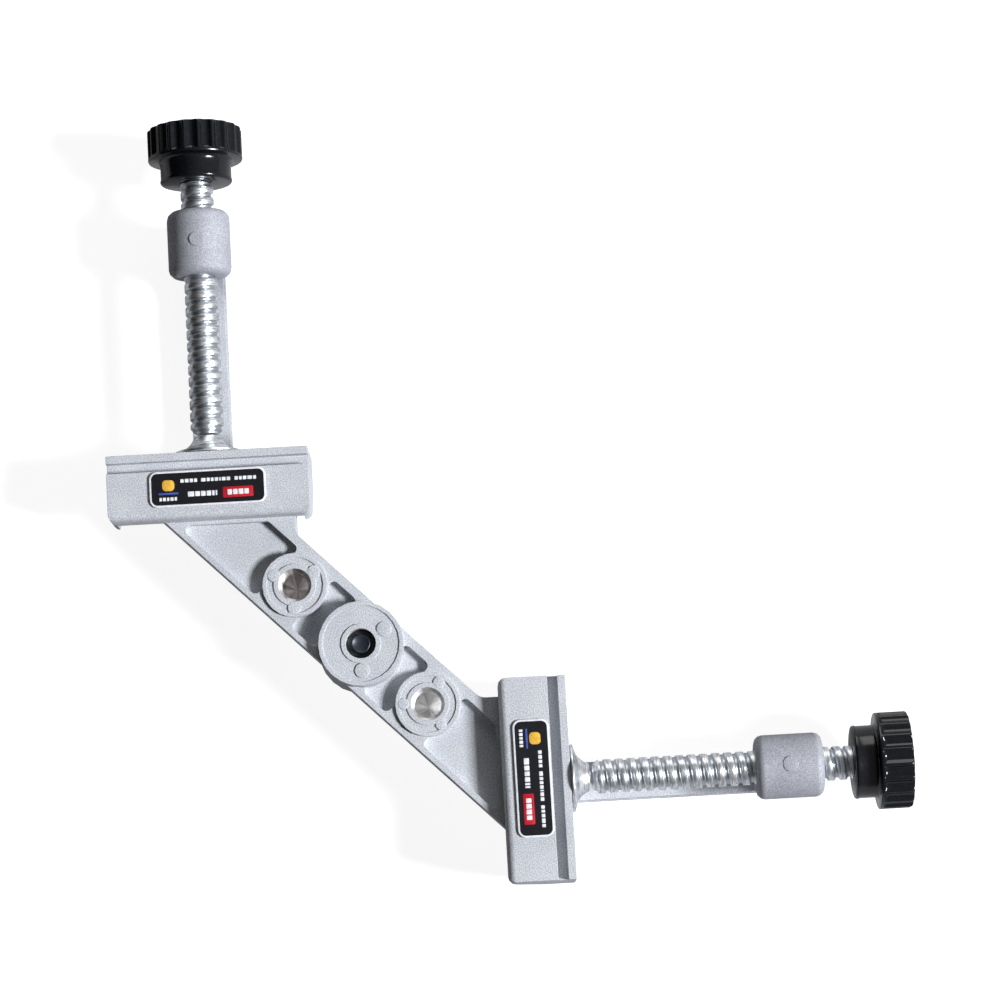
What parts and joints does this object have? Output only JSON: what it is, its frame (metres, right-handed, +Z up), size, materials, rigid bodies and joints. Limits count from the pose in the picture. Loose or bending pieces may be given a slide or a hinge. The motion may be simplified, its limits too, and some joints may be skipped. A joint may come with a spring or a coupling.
{
  "type": "corner clamp",
  "caption": "Right-angle clamp for tube: a cast frame with a fixed jaw on each leg, and a threaded spindle with knob and swivel pad facing each jaw.",
  "frame": {"origin": "middle of the part's box, on the surface that it lies on", "axes": "+Z up from the table; +X outwards along one clamp's screw and +Y outwards along the other's"},
  "size_m": [0.326, 0.326, 0.058],
  "materials": {
    "cast_aluminium": "fine as-cast, tumbled satin grain",
    "zinc_plated_steel": "bright zinc plating on rolled thread",
    "black_knob_plastic": "gloss moulded",
    "badge": "printed plate with a white border",
    "plug_black": "satin moulded"
  },
  "bodies": {
    "frame": {"frame_casting": "cast_aluminium", "centre_plug": "plug_black", "badge_x": "badge", "badge_y": "badge"},
    "pad_x": {"swivel_pad_x": "zinc_plated_steel"},
    "screw_x": {"clamp_screw_x": "zinc_plated_steel", "knob_x": "black_knob_plastic"},
    "pad_y": {"swivel_pad_y": "zinc_plated_steel"},
    "screw_y": {"clamp_screw_y": "zinc_plated_steel", "knob_y": "black_knob_plastic"}
  },
  "joints": [
    {"name": "pad_x_slide", "type": "slide", "parent": "frame", "child": "pad_x", "axis": [1, 0, 0], "range_m": [0, 0.065]},
    {"name": "screw_x_turn", "type": "hinge", "parent": "pad_x", "child": "screw_x", "pos_m": [0.0275, -0.121, 0.038], "axis": [1, 0, 0], "range_deg": [0, 4690]},
    {"name": "pad_y_slide", "type": "slide", "parent": "frame", "child": "pad_y", "axis": [0, 1, 0], "range_m": [0, 0.065]},
    {"name": "screw_y_turn", "type": "hinge", "parent": "pad_y", "child": "screw_y", "pos_m": [-0.121, 0.0275, 0.038], "axis": [0, 1, 0], "range_deg": [0, 4690]}
  ],
  "couplings": [
    {"joint": "screw_x_turn", "follows": "pad_x_slide", "rad_per_m": 1256.6},
    {"joint": "screw_y_turn", "follows": "pad_y_slide", "rad_per_m": 1256.6}
  ]
}
